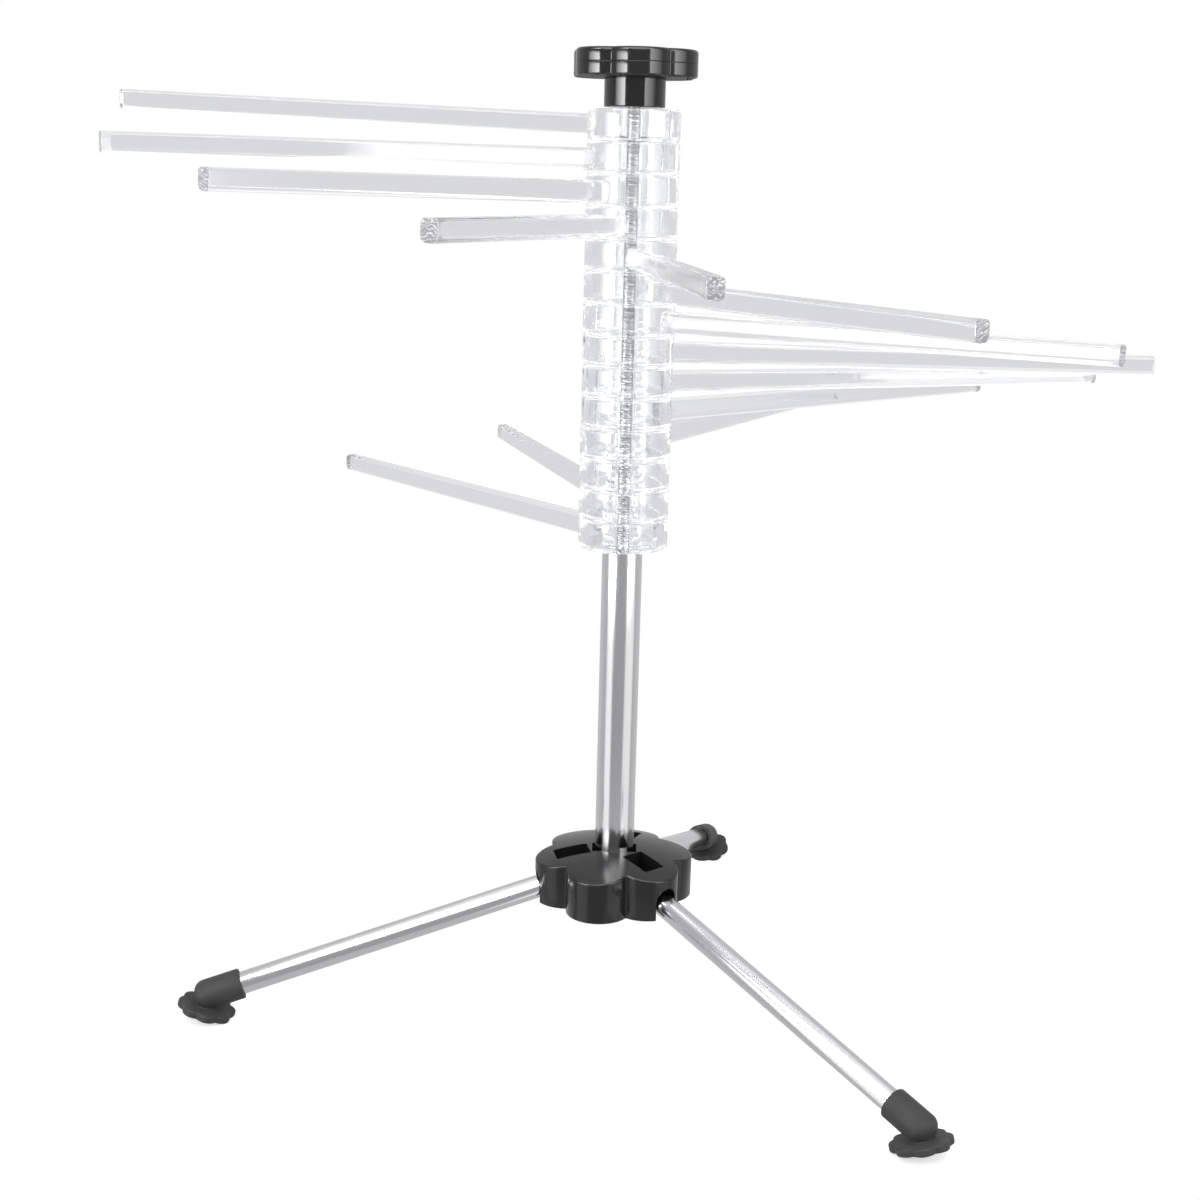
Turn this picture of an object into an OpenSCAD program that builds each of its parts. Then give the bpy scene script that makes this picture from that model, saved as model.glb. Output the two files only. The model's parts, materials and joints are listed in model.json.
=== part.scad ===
// Pasta drying rack: fourteen clear arms on a post, with a folding three-legged foot.
// Millimetres, +Z up. The origin is on the floor under the axis of the post.

/* [Legs and feet] */
// Outside diameter of a leg tube
leg_d = 10.9; // [8:0.1:11.2]
// Wall of a leg tube
leg_wall = 0.8; // [0.5:0.1:1.5]
// Slope of an opened leg below the horizontal, in degrees
leg_slope = 16.2; // [10:0.2:30]
// Distance along a leg from its pivot to the middle of its foot pad
leg_reach = 187.2; // [140:0.2:220]
// Distance of a leg's pivot from the axis of the post
pivot_r = 21; // [19:0.5:24]
// Turn of the left leg round the post, in degrees
leg_turn = 192.2; // [0:0.1:360]
// How far the left, front and back legs are turned from their even places, in degrees
leg_offsets = [0, 0, 1.7];
// Diameter of a pivot pin
pin_d = 4; // [3:0.5:5]
// Length of a pivot pin
pin_len = 22; // [18:1:23]
// Length of a leg eye's neck between its round end and the tube
eye_neck = 2.5; // [1.5:0.5:5]
// Length of a leg eye's spigot inside the tube
eye_spigot = 14; // [8:1:25]
// Diameter of the round end of a leg eye
eye_d = 12.4; // [11.2:0.2:13]
// Outside diameter of a foot's sleeve
sleeve_d = 14.7; // [13:0.1:18]
// Length of a foot's sleeve from its mouth to its round end
sleeve_len = 17.3; // [10:0.1:25]
// Radius of the sleeve's round end
dome_r = 5.5; // [2:0.5:6]
// Distance from the start of the round end to the middle of the pad, along the leg
dome_to_pad = 3.2; // [0:0.2:5]
// Distance of the pad's underside below the leg's axis, square to the leg, at the pad's middle
pad_drop = 7.9; // [7.5:0.1:10]
// Angle by which the pad's outer side stands higher than its inner side on the floor
pad_tilt = 17; // [10:1:20]
// Depth by which the pad's inner edge is flattened against the floor
pad_press = 1.3; // [0.8:0.1:2]
// Diameter of a foot pad over its scallops
pad_d = 27.8; // [22:0.2:34]
// Thickness of a foot pad
pad_t = 3.6; // [2:0.2:6]
// Number of scallops round a foot pad
pad_scallops = 8; // [6:1:12]
// Diameter of one scallop
scallop_d = 10.8; // [8:0.2:13]

/* [Hub] */
// Diameter of the hub over its lobes
hub_d = 78; // [72:1:90]
// Diameter of one lobe
lobe_d = 30.8; // [28:0.2:36]
// Height of the hub at the outer edge of a lobe
hub_h = 19.8; // [18:0.2:26]
// Rise of the hub's crowned top from the outer edge to the middle
hub_crown = 5.9; // [2:0.1:8]
// Height of the pivots above the hub's underside
pivot_up = 11.1; // [9:0.05:13]
// Thickness of the outer wall under the base plate's rim
hub_wall = 2.4; // [1.6:0.1:4]
// Thickness of the roof over the hub's pockets
hub_roof = 3; // [2:0.2:5]
// Diameter of a pocket under a plain lobe
pocket_d = 21.8; // [16:0.2:24]
// Width of a leg slot
slot_w = 12; // [11:0.5:13]
// Distance from the post's axis to the inner end of a leg slot
slot_in = 12.8; // [12:0.1:14]
// Distance from the post's axis to the outer end of a leg slot
slot_out = 29.5; // [28:0.5:31]
// Width of the bridge between a leg slot and the arched notch outside it
bridge_w = 4; // [3:0.5:6]
// Height of the arched notch over the hub's underside
arch_h = 15.3; // [12.5:0.1:16]
// Depth of the relief on either side of the foot of the post
relief_h = 4; // [2:0.5:8]
// Width of the relief on either side of the post
relief_w = 1.3; // [0.8:0.1:1.6]
// Length of the relief from front to back
relief_len = 11; // [6:0.5:11]
// Distance of the relief's middle in front of the post's axis
relief_front = 1.8; // [0:0.1:2]
// Height of the floor that the post stands on, over the hub's underside
floor_up = 12.8; // [10.5:0.1:13]
// Thickness of that floor
floor_t = 4; // [3:0.5:6]
// Thickness of the base plate under the hub
plate_t = 3; // [2:0.5:5]
// Diameter of a base plate screw
screw_d = 2.8; // [2.5:0.1:4]
// Length of a base plate screw
screw_len = 12; // [8:1:14]

/* [Post and rod] */
// Outside diameter of the post
post_d = 19; // [17:0.5:21]
// Wall of the post
post_wall = 1.2; // [0.8:0.1:2]
// Length of the post
post_len = 161.6; // [120:1:240]
// Thickness of the flange of the plug in the top of the post
flange_t = 1.3; // [1:0.1:3]
// Length of the plug below its flange
plug_len = 16; // [10:1:30]
// Diameter of the threaded rod
rod_d = 5.9; // [4.9:0.1:7.9]
// Width of the nuts across their flats
nut_af = 10; // [8:0.5:11]
// Thickness of the nut at the lower end of the rod
nut_t = 5; // [3:0.5:6]
// Thickness of the thin nut in the plug
thin_nut_t = 3.2; // [2.5:0.1:4]
// Diameter of the washer
washer_d = 16; // [13:0.5:17]
// Thickness of the washer
washer_t = 1.2; // [0.8:0.1:2]

/* [Arms] */
// Number of arms
arm_count = 14; // [4:1:15]
// Height of an arm's ring
ring_h = 13.96; // [12.5:0.02:18]
// Outside diameter of a ring
ring_d = 42; // [36:0.5:50]
// Thickness of a ring's outer wall
ring_wall = 3.2; // [2:0.1:4]
// Thickness of a ring's floor
ring_floor = 2.2; // [1.5:0.1:4]
// Diameter of the boss in the middle of a ring
boss_d = 19; // [14:0.2:22]
// Radius of a ring's lower outer edge
ring_edge_low = 2; // [0.5:0.1:3]
// Radius of a ring's upper outer edge
ring_edge_top = 1; // [0.5:0.1:3]
// Distance from the axis to the tip of an arm
arm_reach = 233.9; // [150:0.1:300]
// Width of an arm where it meets its ring
arm_w = 7.8; // [6:0.1:10]
// Height of an arm where it meets its ring
arm_h = 10; // [8:0.1:11]
// Distance of an arm's axis below the middle of its ring, at the ring
arm_drop = 0.8; // [0:0.1:1]
// Size of an arm's tip as a share of its root
arm_taper = 0.85; // [0.6:0.01:1]
// Radius of an arm's upper edges
arm_edge_top = 2.1; // [1:0.1:3]
// Radius of an arm's lower edges
arm_edge_low = 2.9; // [1:0.1:3]
// Upward slope of each arm from the top one down, in degrees, as the rings' play lets them settle
arm_rises = [1.85, 0.45, 0.85, 0.8, 0.3, 0.25, 0.55, 0.8, 0.95, 0.6, 0.6, 0.6, 0.1, 0.5];

/* [Fan] */
// Turn from one arm to the next one down when the fan is open, in degrees
fan_step = 24; // [15:0.5:26]
// Turn of the top arm before its own offset, in degrees
fan_start = 180.5; // [0:0.5:360]
// How far each arm is turned by hand from its even place, in degrees
fan_offsets = [-3.5, 0, 0.5, 0.75, 0.5, 1.5, 0, 2, 0.5, 0, 0, 0, -0.5, -1];
// Turn that a ring's stops allow against the ring below, in degrees
stop_travel = 28; // [27.5:0.5:60]
// Width of a stop lug, in degrees
lug_w = 10; // [6:1:14]
// Depth of a stop lug below its ring
lug_h = 2.5; // [1.5:0.1:4]
// Width of a stop rib, in degrees
rib_w = 8; // [5:1:14]

/* [Knob] */
// Diameter of the knob over its lobes
knob_d = 57.8; // [45:0.1:65]
// Diameter of the circle that rounds each lobe
knob_lobe_d = 31; // [26:0.5:45]
// Height of the knob's head
knob_h = 12; // [10:0.2:18]
// Radius of the knob's upper edge
knob_edge_top = 1.6; // [0.5:0.1:3]
// Radius of the knob's lower edge
knob_edge_low = 1; // [0.5:0.1:3]
// Diameter of the knob's stem
stem_d = 27.5; // [20:0.1:34]
// Length of the knob's stem
stem_len = 12.8; // [8:0.2:20]
// Wall of the knob's hollow head
knob_wall = 2.6; // [1.5:0.1:4]
// Turn of the knob, in degrees
knob_turn = 275.5; // [0:0.5:360]
// Diameter of the threaded insert
insert_d = 10; // [9.5:0.5:14]
// Length of the threaded insert
insert_len = 13; // [8:0.5:14]

/* [Clearances] */
// Gap between pieces that turn against each other face to face
turn_gap = 0.3; // [0.2:0.05:0.4]
// Gap between the knob's stem and the top ring
knob_gap = 0.9; // [0.3:0.1:0.9]
// Radial clearance of a turning fit
turn_fit = 0.06; // [0.02:0.01:0.09]
// Radial clearance of a fixed fit
fixed_fit = 0.05; // [0.01:0.01:0.1]

/* [Hidden] */
$fn = 96;
ACROSS = 1;
LOBES = 6;
LEG_NAMES = ["left", "front", "back"];
LEG_STEP = 360 / len(LEG_NAMES);

leg_r = leg_d / 2;
pin_r = pin_d / 2;
sleeve_r = sleeve_d / 2;
rod_r = rod_d / 2;
nut_r = nut_af / 2 / cos(30);
post_r = post_d / 2;

// The pads tilt up outwards, and the lowest edge of each is flattened on the floor.
pad_z = pad_d / 2 * sin(pad_tilt) - pad_press;
pivot_z = pad_z + leg_reach * sin(leg_slope) + pad_drop * cos(leg_slope);
eye_w = slot_w - 2 * turn_gap;
// Places along a leg, from its pivot outwards.
tube_start = eye_d / 2 + eye_neck;
sleeve_end = leg_reach - dome_to_pad;
sleeve_start = sleeve_end - sleeve_len;
tube_end = sleeve_end;
pad_r = pivot_r + leg_reach * cos(leg_slope) - pad_drop * sin(leg_slope);

hub_z = pivot_z - pivot_up;
rim_z = hub_z + hub_h;
crown_z = rim_z + hub_crown;
crown_r = (hub_d * hub_d / 4 + hub_crown * hub_crown) / (2 * hub_crown);
lobe_r = lobe_d / 2;
lobe_out = hub_d / 2 - lobe_r;
pocket_r = pocket_d / 2;
plate_lobe_r = lobe_r - hub_wall;
// Room round the washer in its well.
WELL_ROOM = 1;
nut_well_r = washer_d / 2 + WELL_ROOM;
SCREW_BOSS_T = 2.2;
screw_boss_r = screw_d / 2 + SCREW_BOSS_T;
// The base screws have heads with sides at 45 degrees and a cross recess.
screw_head_t = 1.8;
screw_head_r = screw_d / 2 + screw_head_t;
CROSS_W = 0.8;
CROSS_DEPTH = 0.9;
cross_span = 1.2 * screw_d;
// How far a leg's tunnel under the bridge runs on into the slot and the notch.
TUNNEL_RUN = 2;
tunnel_from = slot_out - pivot_r - TUNNEL_RUN;

post_z = hub_z + floor_up;
post_top = post_z + post_len;
flange_top = post_top + flange_t;
plug_z = post_top - plug_len;
NUT_ROOM = 0.4;
nut_sink = thin_nut_t + NUT_ROOM;

pitch = ring_h + turn_gap;
stack_z = flange_top + turn_gap;
stack_top = stack_z + arm_count * pitch - turn_gap;
ring_r = ring_d / 2;
boss_r = boss_d / 2;
cavity_r = ring_r - ring_wall;
bore_r = rod_r + turn_fit;
// An arm starts inside its ring's wall.
arm_start = ring_r - ring_wall / 2;
// How far an arm's straight root runs on outside its ring.
ROOT_OUT = 1;
// How deep a rib or a lug is rooted in its ring.
SEAT = 0.8;
// The lugs hang in the ring below, on the side away from the arm.
LUG_AT = 180;
STOP_SLACK = 0.5;
rib_h = ring_h - ring_floor - turn_gap;
lug_in = boss_r + 2 * turn_gap;
lug_out = cavity_r - 2 * turn_gap;

knob_z = stack_top + knob_gap;
head_z = knob_z + stem_len;
seam_z = head_z + knob_h / 2;
knob_top = head_z + knob_h;
knob_lobe_r = knob_lobe_d / 2;
knob_lobe_out = knob_d / 2 - knob_lobe_r;
insert_r = insert_d / 2;
hollow_r = knob_lobe_out * cos(180 / LOBES)
    + sqrt(pow(knob_lobe_r, 2) - pow(knob_lobe_out * sin(180 / LOBES), 2)) - knob_wall;
SPIGOT_H = 2;
SPIGOT_T = 2;

nut_z = post_z - floor_t - washer_t - nut_t;
// The rod ends just below its nut and just short of the end of its insert.
ROD_SHOWS = 0.8;
ROD_SHORT = 1;
rod_z = nut_z - ROD_SHOWS;
rod_top = knob_z + insert_len - ROD_SHORT;

ARMS = [for (i = [1:arm_count]) i];
function arm_name(i) = str("arm_", i < 10 ? "0" : "", i);
function listed(list, i) = i <= len(list) ? list[i - 1] : 0;
function arm_turn(i) = fan_start + fan_step * (i - 1) + listed(fan_offsets, i);
function arm_z(i) = stack_z + (arm_count - i) * pitch;
function leg_angle(k) = leg_turn + k * LEG_STEP + listed(leg_offsets, k + 1);
function plain_lobe_angle(k) = leg_turn + (k + 0.5) * LEG_STEP;

// Places its children on a leg's axis: the pivot is their origin and the leg runs along +X.
module on_leg(k) {
    rotate([0, 0, leg_angle(k)]) translate([pivot_r, 0, pivot_z]) rotate([0, leg_slope, 0]) children();
}

// A rod along +X, from one place to another.
module bar(r, from, to) {
    translate([from, 0, 0]) rotate([0, 90, 0]) cylinder(r = r, h = to - from);
}

// A rod along Y, centred.
module cross_bar(r, length) {
    rotate([90, 0, 0]) cylinder(r = r, h = length, center = true);
}

// A flat outline of round lobes on a circle, with the middle filled in.
module lobes(count, out, r, turn) {
    circle(out);
    for (k = [0:count - 1]) rotate(turn + k * 360 / count) translate([out, 0]) circle(r);
}

module hub_outline(r) {
    lobes(LOBES, lobe_out, r, leg_turn);
}

// Room for a leg along +X, round above and open below.
module leg_channel(r, from, to, drop) {
    translate([from, 0, 0]) rotate([90, 0, 90]) linear_extrude(to - from) {
        circle(r);
        translate([-r, -drop]) square([2 * r, drop]);
    }
}

// The whole way that a leg needs through the hub or its base.
module leg_way(k) {
    rotate([0, 0, leg_angle(k)]) {
        translate([slot_in, -slot_w / 2, hub_z - ACROSS])
            cube([slot_out - slot_in, slot_w, crown_z - hub_z + 2 * ACROSS]);
        translate([0, 0, hub_z + arch_h - slot_w / 2])
            leg_channel(slot_w / 2, slot_out + bridge_w, hub_d / 2 + ACROSS, arch_h);
    }
    on_leg(k)
        leg_channel(leg_r + turn_gap, tunnel_from, tunnel_from + bridge_w + 2 * TUNNEL_RUN, 2 * pivot_up);
}

module hub_body() {
    color([0.1, 0.1, 0.11]) difference() {
        intersection() {
            translate([0, 0, hub_z]) linear_extrude(crown_z - hub_z) hub_outline(lobe_r);
            translate([0, 0, crown_z - crown_r]) sphere(r = crown_r);
        }
        translate([0, 0, post_z]) cylinder(r = post_r + fixed_fit, h = crown_z);
        translate([-post_r - relief_w, -relief_front - relief_len / 2, crown_z - relief_h])
            cube([2 * (post_r + relief_w), relief_len, crown_z]);
        translate([0, 0, hub_z - ACROSS]) cylinder(r = rod_r + fixed_fit, h = crown_z);
        translate([0, 0, hub_z - ACROSS]) cylinder(r = nut_well_r, h = floor_up - floor_t + ACROSS);
        translate([0, 0, hub_z - ACROSS]) linear_extrude(plate_t + ACROSS) hub_outline(plate_lobe_r);
        for (k = [0:len(LEG_NAMES) - 1]) {
            leg_way(k);
            rotate([0, 0, leg_angle(k)]) translate([pivot_r, 0, pivot_z]) pin_groove();
            rotate([0, 0, plain_lobe_angle(k)]) translate([lobe_out, 0, 0]) pocket();
        }
    }
}

// A groove that the pin drops into from below.
module pin_groove() {
    r = pin_r + fixed_fit;
    cross_bar(r, pin_len + 2 * fixed_fit);
    translate([-r, -pin_len / 2 - fixed_fit, -pivot_up - ACROSS])
        cube([2 * r, pin_len + 2 * fixed_fit, pivot_up + ACROSS]);
}

// The hollow under a plain lobe, round the boss that takes a base screw.
module pocket() {
    rotate_extrude() translate([screw_boss_r, hub_z + plate_t - ACROSS])
        square([pocket_r - screw_boss_r, hub_h - hub_roof - plate_t + ACROSS]);
    translate([0, 0, hub_z]) cylinder(r = screw_d / 2 + fixed_fit, h = screw_len + ACROSS);
}

module hub_base() {
    post_w = 2 * pin_r - 2 * fixed_fit;
    post_in = slot_w / 2 + fixed_fit;
    post_h = pivot_up - plate_t - pin_r - fixed_fit;
    color([0.12, 0.12, 0.13]) difference() {
        union() {
            translate([0, 0, hub_z]) linear_extrude(plate_t) hub_outline(plate_lobe_r - fixed_fit);
            for (k = [0:len(LEG_NAMES) - 1], side = [0, 1])
                rotate([0, 0, leg_angle(k)]) mirror([0, side, 0])
                    translate([pivot_r - post_w / 2, post_in, hub_z + plate_t / 2])
                        cube([post_w, pin_len / 2 - post_in, plate_t / 2 + post_h]);
        }
        translate([0, 0, hub_z - ACROSS]) cylinder(r = nut_well_r, h = plate_t + 2 * ACROSS);
        for (k = [0:len(LEG_NAMES) - 1]) {
            rotate([0, 0, leg_angle(k)]) translate([slot_in, -slot_w / 2, hub_z - ACROSS])
                cube([hub_d, slot_w, plate_t + 2 * ACROSS]);
            rotate([0, 0, plain_lobe_angle(k)]) translate([lobe_out, 0, hub_z]) screw_hole();
        }
    }
}

// The countersunk hole for a base screw. Its cone runs on below the plate at the same slope.
module screw_hole() {
    hole_r = screw_d / 2 + fixed_fit;
    translate([0, 0, -ACROSS]) {
        cylinder(r = hole_r, h = plate_t + 2 * ACROSS);
        cylinder(r1 = hole_r + screw_head_t + ACROSS, r2 = hole_r, h = screw_head_t + ACROSS);
    }
}

module hub_screws() {
    color([0.7, 0.7, 0.72])
        for (k = [0:len(LEG_NAMES) - 1])
            rotate([0, 0, plain_lobe_angle(k)]) translate([lobe_out, 0, hub_z]) difference() {
                union() {
                    cylinder(r1 = screw_head_r, r2 = screw_d / 2, h = screw_head_t);
                    cylinder(r = screw_d / 2, h = screw_len);
                }
                for (turn = [0, 90]) rotate([0, 0, turn]) translate([-cross_span / 2, -CROSS_W / 2, -ACROSS])
                    cube([cross_span, CROSS_W, ACROSS + CROSS_DEPTH]);
            }
}

module post_tube() {
    color([0.75, 0.75, 0.76]) translate([0, 0, post_z]) difference() {
        cylinder(r = post_r, h = post_len);
        translate([0, 0, -ACROSS]) cylinder(r = post_r - post_wall, h = post_len + 2 * ACROSS);
    }
}

module post_plug() {
    color([0.72, 0.72, 0.74]) difference() {
        union() {
            translate([0, 0, post_top]) cylinder(r = post_r, h = flange_t);
            translate([0, 0, plug_z]) cylinder(r = post_r - post_wall - fixed_fit, h = plug_len);
        }
        translate([0, 0, plug_z - ACROSS])
            cylinder(r = rod_r + fixed_fit, h = plug_len + flange_t + 2 * ACROSS);
        translate([0, 0, flange_top - nut_sink]) cylinder(r = nut_r + NUT_ROOM, h = nut_sink + ACROSS);
    }
}

// A six-sided nut that stands on its origin.
module hex_nut(t) {
    difference() {
        cylinder(r = nut_r, h = t, $fn = 6);
        translate([0, 0, -ACROSS]) cylinder(r = rod_r + fixed_fit, h = t + 2 * ACROSS);
    }
}

module thin_nut() {
    color([0.7, 0.7, 0.72]) translate([0, 0, flange_top - nut_sink]) hex_nut(thin_nut_t);
}

module tie_nut() {
    color([0.7, 0.7, 0.72]) translate([0, 0, nut_z]) hex_nut(nut_t);
}

module tie_washer() {
    color([0.7, 0.7, 0.72]) translate([0, 0, nut_z + nut_t]) difference() {
        cylinder(r = washer_d / 2, h = washer_t);
        translate([0, 0, -ACROSS]) cylinder(r = rod_r + fixed_fit, h = washer_t + 2 * ACROSS);
    }
}

module tie_rod() {
    color([0.62, 0.62, 0.64]) translate([0, 0, rod_z]) cylinder(r = rod_r, h = rod_top - rod_z);
}

module leg_tube(k) {
    color([0.78, 0.78, 0.79]) on_leg(k) difference() {
        bar(leg_r, tube_start, tube_end);
        bar(leg_r - leg_wall, tube_start - ACROSS, tube_end + ACROSS);
    }
}

// The round end turns on the pin, and the spigot is pressed into the leg tube.
module leg_eye(k) {
    color([0.12, 0.12, 0.13]) on_leg(k) difference() {
        union() {
            cross_bar(eye_d / 2, eye_w);
            bar(leg_r, 0, tube_start);
            bar(leg_r - leg_wall - fixed_fit, 0, tube_start + eye_spigot);
        }
        cross_bar(pin_r + turn_fit, slot_w + 2 * ACROSS);
    }
}

module leg_pin(k) {
    color([0.7, 0.7, 0.72]) on_leg(k) cross_bar(pin_r, pin_len);
}

// Half of a sleeve's section, from its mouth to its round end.
module sleeve_section() {
    square([sleeve_r, sleeve_len]);
    square([sleeve_r - dome_r, sleeve_len + dome_r]);
    intersection() {
        translate([sleeve_r - dome_r, sleeve_len]) circle(dome_r);
        square([sleeve_r, sleeve_len + dome_r]);
    }
}

// A scalloped pad, in the leg's own frame.
module pad() {
    translate([leg_reach, 0, -pad_drop]) rotate([0, -leg_slope - pad_tilt, 0])
        linear_extrude(pad_t) lobes(pad_scallops, (pad_d - scallop_d) / 2, scallop_d / 2, 0);
}

// A sleeve with a round outer end, and a pad moulded under it and flattened by the floor.
module foot(k) {
    color([0.28, 0.28, 0.29]) difference() {
        on_leg(k) {
            translate([sleeve_start, 0, 0]) rotate([0, 90, 0]) rotate_extrude() sleeve_section();
            pad();
        }
        on_leg(k) bar(leg_r + fixed_fit, sleeve_start - ACROSS, tube_end + fixed_fit);
        rotate([0, 0, leg_angle(k)]) translate([pad_r - pad_d, -pad_d, -pad_d])
            cube([2 * pad_d, 2 * pad_d, pad_d]);
    }
}

// Half of a ring's section, with its outer edges rounded.
module ring_section() {
    difference() {
        union() {
            translate([bore_r, 0]) square([ring_r - ring_edge_low - bore_r, ring_h / 2]);
            translate([bore_r, ring_h / 2]) square([ring_r - ring_edge_top - bore_r, ring_h / 2]);
            translate([bore_r, ring_edge_low])
                square([ring_r - bore_r, ring_h - ring_edge_low - ring_edge_top]);
            translate([ring_r - ring_edge_low, ring_edge_low]) circle(ring_edge_low);
            translate([ring_r - ring_edge_top, ring_h - ring_edge_top]) circle(ring_edge_top);
        }
        translate([boss_r, ring_floor]) square([cavity_r - boss_r, ring_h]);
    }
}

// A block that follows the ring, between two radii and two angles.
module ring_block(r_in, r_out, from, width, z, h) {
    rotate([0, 0, from]) rotate_extrude(angle = width) translate([r_in, z]) square([r_out - r_in, h]);
}

// Points on a quarter circle, for the rounded corners of the arm's section.
function corner(x, y, r, from) = [for (a = [0:15:90]) [x + r * cos(from + a), y + r * sin(from + a)]];

module arm_section() {
    w = arm_w / 2;
    h = arm_h / 2;
    polygon(concat(
        corner(w - arm_edge_top, h - arm_edge_top, arm_edge_top, 0),
        corner(arm_edge_top - w, h - arm_edge_top, arm_edge_top, 90),
        corner(arm_edge_low - w, arm_edge_low - h, arm_edge_low, 180),
        corner(w - arm_edge_low, arm_edge_low - h, arm_edge_low, 270)
    ));
}

// An arm along +X. It leaves its ring straight, then narrows towards its tip.
module arm_bar(rise) {
    root = ring_r - arm_start + ROOT_OUT;
    translate([0, 0, ring_h / 2 - arm_drop]) rotate([0, -rise, 0]) rotate([90, 0, 90]) translate([0, 0, arm_start]) {
        linear_extrude(root) arm_section();
        translate([0, 0, root])
            linear_extrude(arm_reach / cos(rise) - arm_start - root, scale = arm_taper) arm_section();
    }
}

module arm(i) {
    stop_low = LUG_AT - stop_travel - lug_w / 2 - STOP_SLACK;
    stop_high = LUG_AT + lug_w / 2 + STOP_SLACK;
    color([0.88, 0.92, 0.94, 0.45]) translate([0, 0, arm_z(i)]) rotate([0, 0, arm_turn(i)]) {
        rotate_extrude() ring_section();
        for (from = [stop_low - rib_w, stop_high])
            ring_block(boss_r - SEAT, cavity_r + SEAT, from, rib_w, ring_floor - SEAT, rib_h + SEAT);
        if (i < arm_count) ring_block(lug_in, lug_out, LUG_AT - lug_w / 2, lug_w, -lug_h, lug_h + SEAT);
        arm_bar(listed(arm_rises, i));
    }
}

// The knob's head between two heights: six lobes inside a disc with rounded edges.
module knob_head(from, to) {
    intersection() {
        translate([0, 0, from]) linear_extrude(to - from)
            lobes(LOBES, knob_lobe_out, knob_lobe_r, knob_turn);
        translate([0, 0, head_z]) rotate_extrude() knob_edge_section();
    }
}

// Half of that disc's section. It clears the lobes' tips, so that only its rounded edges cut them.
module knob_edge_section() {
    r = knob_d / 2 + fixed_fit;
    square([r - knob_edge_low, knob_h / 2]);
    translate([0, knob_h / 2]) square([r - knob_edge_top, knob_h / 2]);
    translate([0, knob_edge_low]) square([r, knob_h - knob_edge_low - knob_edge_top]);
    translate([r - knob_edge_low, knob_edge_low]) circle(knob_edge_low);
    translate([r - knob_edge_top, knob_h - knob_edge_top]) circle(knob_edge_top);
}

module knob_body() {
    color([0.08, 0.08, 0.09]) difference() {
        union() {
            translate([0, 0, knob_z]) cylinder(r = stem_d / 2, h = stem_len + knob_wall);
            knob_head(head_z, seam_z);
        }
        translate([0, 0, head_z + knob_wall]) rotate_extrude() translate([insert_r + knob_wall, 0])
            square([hollow_r - insert_r - knob_wall, knob_h]);
        translate([0, 0, knob_z - ACROSS])
            cylinder(r = insert_r + fixed_fit, h = insert_len + ACROSS + fixed_fit);
        translate([0, 0, seam_z - SPIGOT_H - turn_gap])
            cylinder(r = insert_r + knob_wall + ACROSS, h = knob_h);
    }
}

module knob_cap() {
    color([0.08, 0.08, 0.09]) difference() {
        union() {
            knob_head(seam_z, knob_top);
            translate([0, 0, seam_z - SPIGOT_H]) cylinder(r = hollow_r - fixed_fit, h = SPIGOT_H + ACROSS);
        }
        translate([0, 0, seam_z - SPIGOT_H - ACROSS])
            cylinder(r = hollow_r - SPIGOT_T, h = knob_h / 2 - knob_wall + SPIGOT_H + ACROSS);
    }
}

module knob_insert() {
    color([0.8, 0.65, 0.3]) translate([0, 0, knob_z]) difference() {
        cylinder(r = insert_r, h = insert_len);
        translate([0, 0, -ACROSS]) cylinder(r = bore_r, h = insert_len + 2 * ACROSS);
    }
}

hub_body();
hub_base();
hub_screws();
post_tube();
post_plug();
thin_nut();
tie_rod();
tie_nut();
tie_washer();
for (k = [0:len(LEG_NAMES) - 1]) {
    leg_tube(k);
    leg_eye(k);
    leg_pin(k);
    foot(k);
}
for (i = ARMS) arm(i);
knob_body();
knob_cap();
knob_insert();
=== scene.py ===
# Pasta drying rack: clear arms on a steel post, a clamping knob on top, a folding three-legged foot.
import json
import math
import bmesh
import bpy
from mathutils import Matrix, Vector


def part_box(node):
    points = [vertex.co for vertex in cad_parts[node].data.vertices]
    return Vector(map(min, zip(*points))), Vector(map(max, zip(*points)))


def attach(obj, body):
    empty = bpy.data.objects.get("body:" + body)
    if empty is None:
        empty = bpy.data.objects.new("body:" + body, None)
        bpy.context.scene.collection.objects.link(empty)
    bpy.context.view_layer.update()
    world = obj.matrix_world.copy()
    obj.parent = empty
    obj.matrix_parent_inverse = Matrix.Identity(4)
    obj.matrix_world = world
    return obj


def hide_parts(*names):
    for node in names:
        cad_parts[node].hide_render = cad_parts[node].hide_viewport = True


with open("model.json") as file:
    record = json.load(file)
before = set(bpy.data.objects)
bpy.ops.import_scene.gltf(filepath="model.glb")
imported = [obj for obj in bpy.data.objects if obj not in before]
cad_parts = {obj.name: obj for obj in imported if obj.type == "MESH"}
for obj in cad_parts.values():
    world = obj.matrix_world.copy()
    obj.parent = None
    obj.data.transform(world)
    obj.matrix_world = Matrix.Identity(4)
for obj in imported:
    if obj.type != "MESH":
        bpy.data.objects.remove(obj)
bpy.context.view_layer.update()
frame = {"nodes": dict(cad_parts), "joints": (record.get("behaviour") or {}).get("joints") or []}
MM = 0.001


# Viewpoint
# The rack was photographed a little from above, from the side that its front leg points to.
VIEW_LENS = 54.26
VIEW_SENSOR = 36.0
VIEW_BACK = 837.93 * MM
VIEW_HEIGHT = 401.6 * MM
VIEW_DOWN = math.radians(13.464)
VIEW_ROLL = math.radians(1.415)
VIEW_TURN = math.radians(-0.683)


def aim(turn, down, roll):
    ahead = Vector((math.sin(turn) * math.cos(down), math.cos(turn) * math.cos(down), -math.sin(down)))
    level = Vector((math.cos(turn), -math.sin(turn), 0))
    above = level.cross(ahead)
    right = level * math.cos(roll) + above * math.sin(roll)
    up = above * math.cos(roll) - level * math.sin(roll)
    return Matrix((right, up, -ahead)).transposed()


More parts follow.
